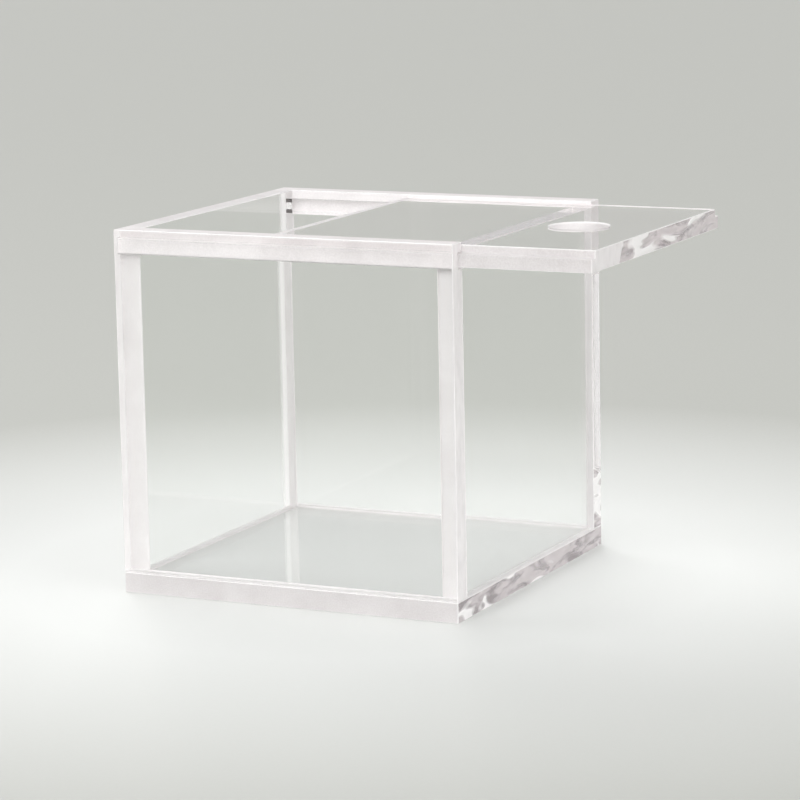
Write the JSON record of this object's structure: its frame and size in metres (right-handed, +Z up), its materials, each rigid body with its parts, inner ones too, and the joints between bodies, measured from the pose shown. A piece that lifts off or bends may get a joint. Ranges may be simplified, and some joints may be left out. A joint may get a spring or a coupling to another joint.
{
  "type": "display cube",
  "caption": "Clear acrylic display cube made of cemented flat sheets, with a lid that slides in grooves and has a round finger hole.",
  "frame": {"origin": "centre of the base's underside", "axes": "+Z up, +X the way the lid slides open, front wall faces -Y"},
  "size_m": [0.137, 0.1, 0.1],
  "materials": {
    "clear_sheet": "polished",
    "clear_lid": "polished"
  },
  "bodies": {
    "box": {"base": "clear_sheet", "front_wall": "clear_sheet", "back_wall": "clear_sheet", "closed_end_wall": "clear_sheet", "pull_end_wall": "clear_sheet"},
    "lid": {"sliding_lid": "clear_lid"}
  },
  "joints": [
    {"name": "lid_slide", "type": "slide", "parent": "box", "child": "lid", "axis": [1, 0, 0], "range_m": [-0.037, 0.06]}
  ]
}
